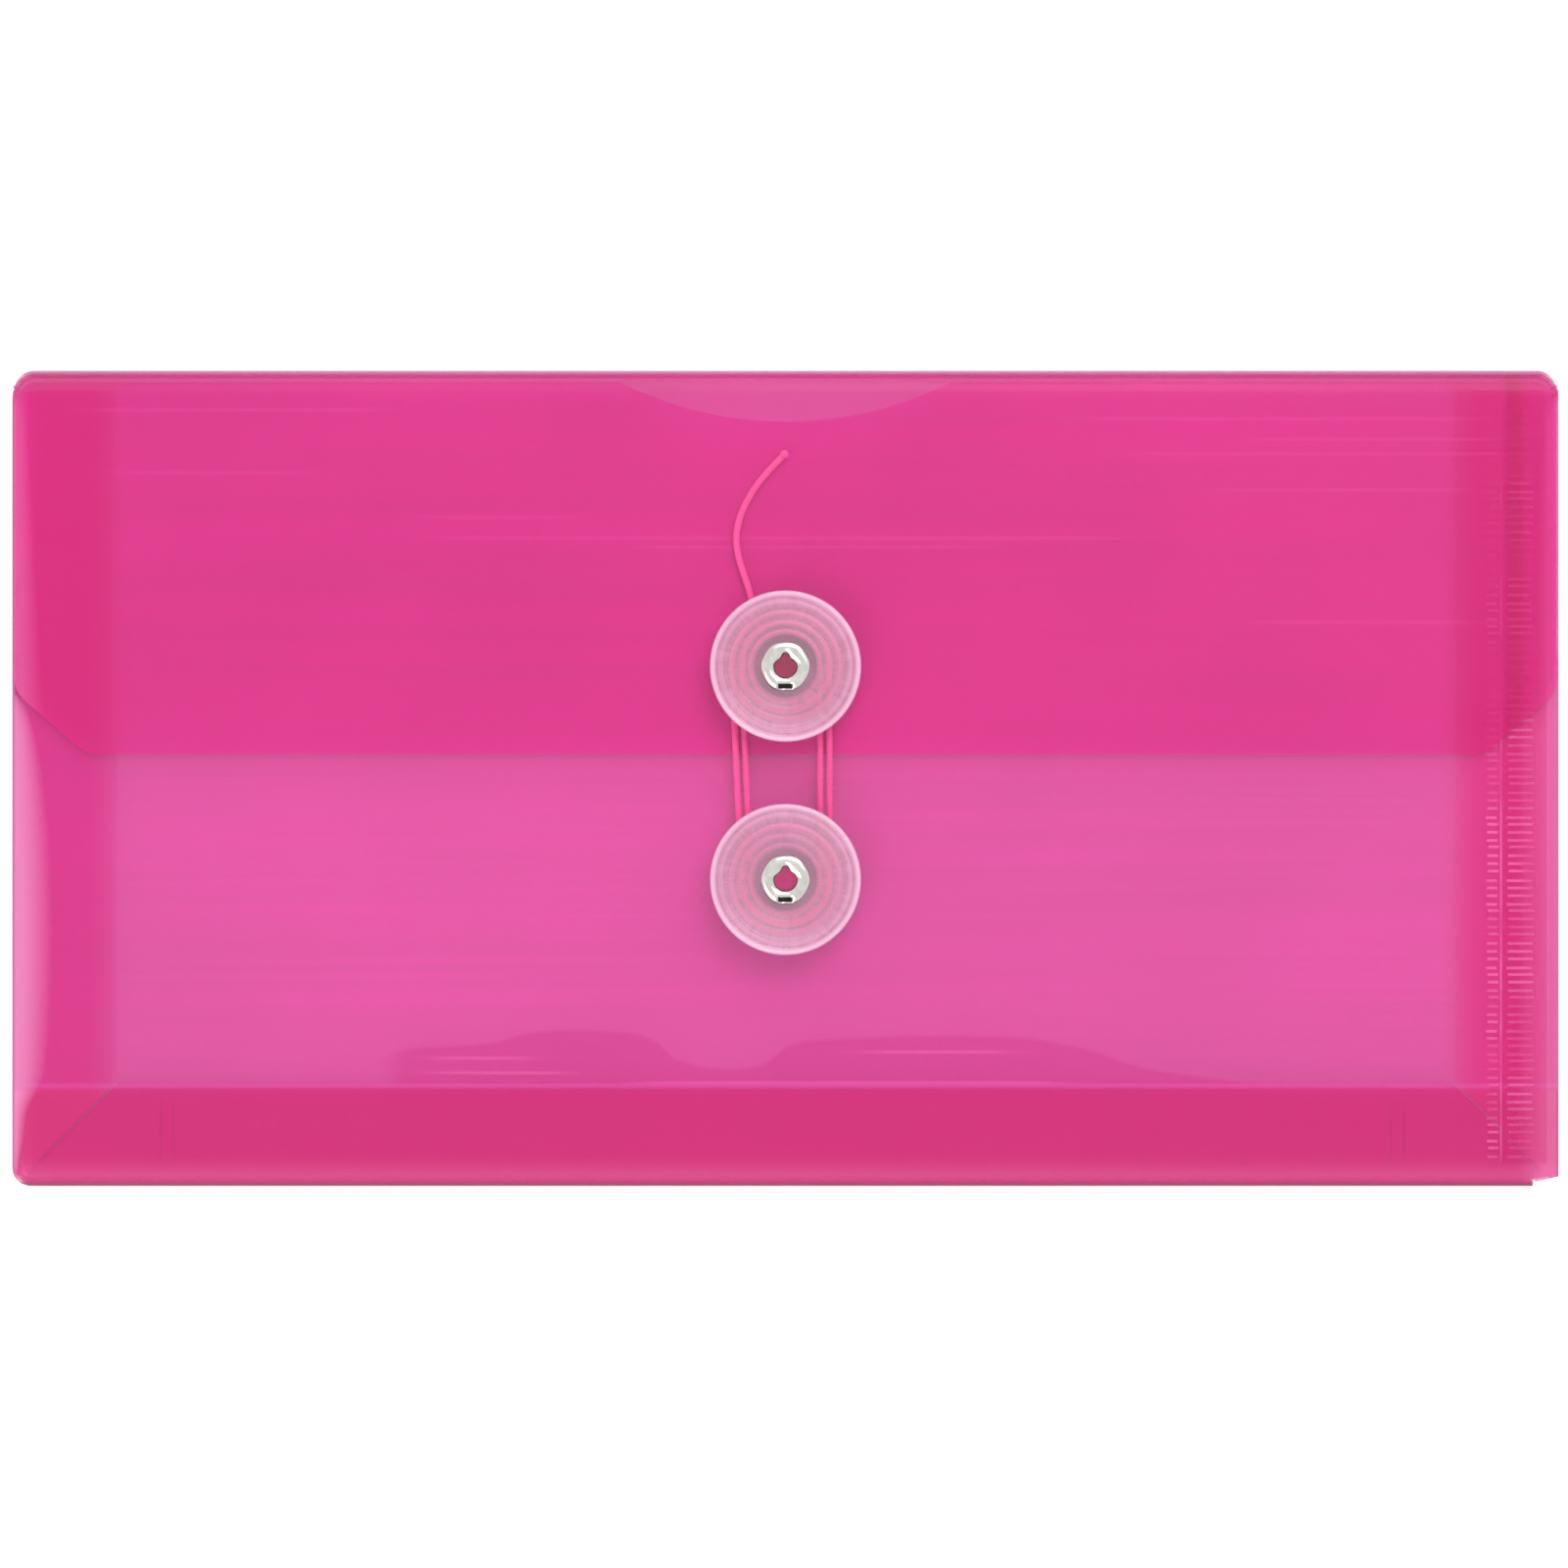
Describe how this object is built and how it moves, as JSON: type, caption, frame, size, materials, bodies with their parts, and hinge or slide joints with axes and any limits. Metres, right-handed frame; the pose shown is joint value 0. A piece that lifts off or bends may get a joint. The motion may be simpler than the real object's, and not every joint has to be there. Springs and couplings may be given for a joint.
{
  "type": "string tie envelope",
  "caption": "Translucent plastic document envelope with V-fold gussets and a wide flap with rounded corners, tied shut by a string wound round buttons on eyelets.",
  "frame": {"origin": "middle of the envelope's outline, on the surface that the back sheet lies on", "axes": "+X along the envelope, +Y towards the flap's fold, +Z towards the flap side"},
  "size_m": [0.254, 0.134, 0.0131],
  "materials": {
    "sheet": "translucent satin",
    "button": "translucent",
    "eyelet": "nickel plated",
    "string": "twisted cord"
  },
  "bodies": {
    "back": {"back_panel": "sheet", "left_rear_crease": "sheet", "right_rear_crease": "sheet", "bottom_rear_crease": "sheet", "flap_base_crease": "sheet"},
    "left_gusset_rear": {"left_gusset_rear": "sheet", "left_inner_crease": "sheet"},
    "left_gusset_front": {"left_gusset_front": "sheet"},
    "front_panel": {"front_panel": "sheet", "left_front_crease": "sheet", "right_front_crease": "sheet", "bottom_front_crease": "sheet", "side_weld": "sheet", "front_eyelet": "eyelet"},
    "right_gusset_rear": {"right_gusset_rear": "sheet", "right_inner_crease": "sheet"},
    "right_gusset_front": {"right_gusset_front": "sheet"},
    "bottom_gusset_rear": {"bottom_gusset_rear": "sheet", "bottom_inner_crease": "sheet"},
    "bottom_gusset_front": {"bottom_gusset_front": "sheet"},
    "flap_base": {"flap_base": "sheet"},
    "flap_wall": {"flap_wall": "sheet"},
    "flap_panel": {"flap_panel": "sheet", "flap_top_crease": "sheet", "flap_eyelet": "eyelet", "string_tail": "string", "string_tip": "string", "string_knot": "string"},
    "string_loop": {"string_winding": "string"},
    "flap_button": {"flap_button": "button"},
    "front_button": {"front_button": "button"}
  },
  "joints": [
    {"name": "expansion", "type": "hinge", "parent": "back", "child": "bottom_gusset_rear", "pos_m": [0, -0.0664, 0.0006], "axis": [1, 0, 0], "range_deg": [-5, 36], "stiffness_Nm_per_rad": 1},
    {"name": "bottom_inner_fold", "type": "hinge", "parent": "bottom_gusset_rear", "child": "bottom_gusset_front", "pos_m": [0, -0.05059, 0.00316], "axis": [1, 0, 0], "range_deg": [-78, 16]},
    {"name": "bottom_front_fold", "type": "hinge", "parent": "bottom_gusset_front", "child": "front_panel", "pos_m": [0, -0.0664, 0.00571], "axis": [1, 0, 0], "range_deg": [-8, 39]},
    {"name": "left_rear_fold", "type": "hinge", "parent": "back", "child": "left_gusset_rear", "pos_m": [-0.1264, 0, 0.0006], "axis": [0, -1, 0], "range_deg": [-8, 39]},
    {"name": "left_inner_fold", "type": "hinge", "parent": "left_gusset_rear", "child": "left_gusset_front", "pos_m": [-0.11059, 0, 0.00316], "axis": [0, -1, 0], "range_deg": [-78, 16]},
    {"name": "right_rear_fold", "type": "hinge", "parent": "back", "child": "right_gusset_rear", "pos_m": [0.1264, 0, 0.0006], "axis": [0, 1, 0], "range_deg": [-8, 39]},
    {"name": "right_inner_fold", "type": "hinge", "parent": "right_gusset_rear", "child": "right_gusset_front", "pos_m": [0.11059, 0, 0.00316], "axis": [0, 1, 0], "range_deg": [-78, 16]},
    {"name": "flap_base_fold", "type": "hinge", "parent": "back", "child": "flap_base", "pos_m": [0, 0.0664, 0.0006], "axis": [-1, 0, 0], "range_deg": [0, 86]},
    {"name": "flap_wall_rise", "type": "slide", "parent": "flap_base", "child": "flap_wall", "axis": [0, 0, 1], "range_m": [-0.0041, 0.0201]},
    {"name": "flap_open", "type": "hinge", "parent": "flap_wall", "child": "flap_panel", "pos_m": [0, 0.0664, 0.00706], "axis": [-1, 0, 0], "range_deg": [0, 85], "deforming": ["string_winding"]},
    {"name": "string_unwind", "type": "slide", "parent": "flap_panel", "child": "string_loop", "axis": [0, 1, 0], "range_m": [0, 0.0331]},
    {"name": "flap_button_spin", "type": "hinge", "parent": "flap_panel", "child": "flap_button", "pos_m": [0, 0.0183, 0.0095], "axis": [0, 0, 1], "continuous": true},
    {"name": "front_button_spin", "type": "hinge", "parent": "front_panel", "child": "front_button", "pos_m": [0, -0.0166, 0.0085], "axis": [0, 0, 1], "continuous": true}
  ],
  "couplings": [
    {"joint": "left_inner_fold", "follows": "expansion", "ratio": -2},
    {"joint": "bottom_front_fold", "follows": "expansion", "ratio": 1},
    {"joint": "right_rear_fold", "follows": "expansion", "ratio": 1},
    {"joint": "right_inner_fold", "follows": "expansion", "ratio": -2},
    {"joint": "left_rear_fold", "follows": "expansion", "ratio": 1},
    {"joint": "bottom_inner_fold", "follows": "expansion", "ratio": -2},
    {"joint": "flap_wall_rise", "follows": "expansion", "m_per_rad": 0.0295},
    {"joint": "flap_base_fold", "follows": "flap_open", "ratio": 1},
    {"joint": "string_unwind", "follows": "flap_open", "m_per_rad": 0.0222}
  ]
}
